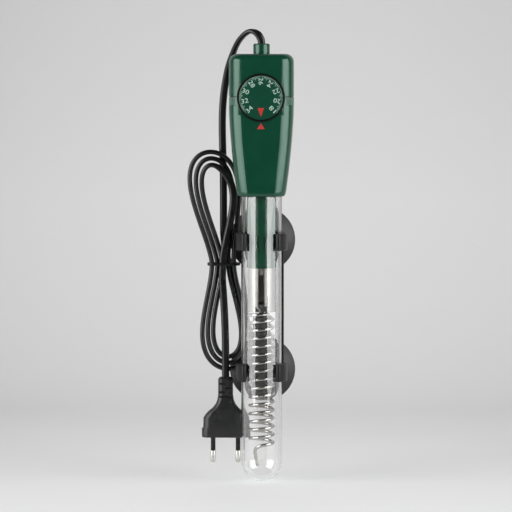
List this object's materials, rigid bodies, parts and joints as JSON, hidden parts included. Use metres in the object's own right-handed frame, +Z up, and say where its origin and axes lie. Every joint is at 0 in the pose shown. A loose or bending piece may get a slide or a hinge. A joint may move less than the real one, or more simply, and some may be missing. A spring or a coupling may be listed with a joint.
{
  "type": "submersible aquarium heater",
  "caption": "Thermostat heater in a glass tube with a tapered green head, temperature dial, suction cup holders and a tied flat mains cord with plug.",
  "frame": {"origin": "middle of the upper suction cup's rim, in the plane of the wall it sticks to", "axes": "+Z up along the tube, +Y into the wall, +X right as seen by someone facing the heater"},
  "size_m": [0.0801, 0.0519, 0.3351],
  "materials": {
    "green_plastic": "semi-gloss",
    "red_mark": "printed",
    "black_plastic": "satin",
    "plug_plastic": "satin",
    "black_rubber": "matte",
    "cup_rubber": "satin",
    "clear_glass": "clear",
    "polished_steel": "polished",
    "steel": "bright",
    "brass": "nickel-bright",
    "ceramic": "unglazed ceramic",
    "white_plastic": "satin",
    "wire_insulation": "blue and brown",
    "cord_sheath": "satin"
  },
  "bodies": {
    "bracket": {"upper_clip": "black_plastic", "lower_clip": "black_plastic", "clip_rail": "black_plastic"},
    "upper_cup_body": {"upper_cup": "cup_rubber"},
    "lower_cup_body": {"lower_cup": "cup_rubber"},
    "heater": {"head_cap": "green_plastic", "head_body": "green_plastic", "joint_collar": "green_plastic", "dial_housing": "black_plastic", "head_pointer": "red_mark", "cord_gland": "green_plastic", "gland_seal": "black_rubber", "cord_clamp": "black_plastic", "clamp_screws": "steel", "glass_tube": "clear_glass", "tube_seal": "black_rubber", "tube_stopper": "black_plastic", "thermostat_carrier": "green_plastic", "carrier_ring": "green_plastic", "metal_sleeve": "polished_steel", "thermostat_base": "ceramic", "fixed_contact": "brass", "snap_magnet": "steel", "ceramic_plug": "ceramic", "coil_core": "ceramic", "heating_coil": "polished_steel", "lead_wires": "wire_insulation", "suppressor": "white_plastic", "cord_lead": "cord_sheath", "cord_hank": "cord_sheath", "cord_tail": "cord_sheath", "cord_tie": "cord_sheath", "plug_body": "plug_plastic", "plug_pins": "steel", "plug_sleeves": "black_plastic"},
    "dial_body": {"dial": "green_plastic", "dial_pointer": "red_mark", "dial_shaft": "steel", "shaft_seal": "black_rubber", "shaft_clip": "steel", "dial_cam": "white_plastic"},
    "rod_body": {"push_rod": "white_plastic", "rod_spring": "steel"},
    "arm_body": {"bimetal_arm": "brass", "moving_contact": "brass"}
  },
  "joints": [
    {"name": "upper_cup_turn", "type": "hinge", "parent": "bracket", "child": "upper_cup_body", "pos_m": [0, 0, 0], "axis": [0, 1, 0], "continuous": true},
    {"name": "lower_cup_turn", "type": "hinge", "parent": "bracket", "child": "lower_cup_body", "pos_m": [0, 0, -0.097], "axis": [0, 1, 0], "continuous": true},
    {"name": "heater_slide", "type": "slide", "parent": "bracket", "child": "heater", "axis": [0, 0, 1], "range_m": [-0.003, 0.012]},
    {"name": "dial_turn", "type": "hinge", "parent": "heater", "child": "dial_body", "pos_m": [0, -0.05, 0.1066], "axis": [0, 1, 0], "range_deg": [0, 315]},
    {"name": "rod_slide", "type": "slide", "parent": "heater", "child": "rod_body", "axis": [0, 0, -1], "range_m": [0, 0.0032], "deforming": ["rod_spring"]},
    {"name": "arm_open", "type": "hinge", "parent": "heater", "child": "arm_body", "pos_m": [0, -0.0365, -0.0252], "axis": [-1, 0, 0], "range_deg": [0, 3], "stiffness_Nm_per_rad": 0.02}
  ],
  "couplings": [
    {"joint": "rod_slide", "follows": "dial_turn", "m_per_rad": 0.00057296}
  ]
}
